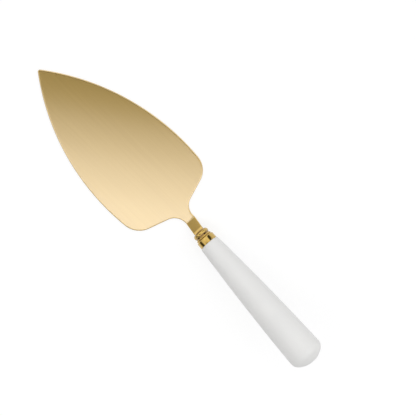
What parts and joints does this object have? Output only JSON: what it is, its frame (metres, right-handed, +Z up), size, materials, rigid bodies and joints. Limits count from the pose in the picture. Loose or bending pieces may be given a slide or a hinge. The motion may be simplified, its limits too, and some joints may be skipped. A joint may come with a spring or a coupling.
{
  "type": "cake server",
  "caption": "Cake server with a flat leaf-shaped gold blade, a cranked neck, a turned brass ferrule and a round white porcelain handle.",
  "frame": {"origin": "on the underside of the blade, on the centre line at the blade's widest line", "axes": "+X along the centre line from the tip towards the handle, +Y across the blade, +Z up from the blade's flat underside"},
  "size_m": [0.264, 0.071, 0.0536],
  "materials": {
    "gold_steel": "satin brushed gold coating on stainless steel",
    "polished_brass": "polished",
    "white_porcelain": "satin white glaze",
    "bonding_cement": "matte, cast in place"
  },
  "bodies": {
    "root": {"blade": "gold_steel", "ferrule": "polished_brass", "handle": "white_porcelain", "cement_fill": "bonding_cement"}
  },
  "joints": []
}
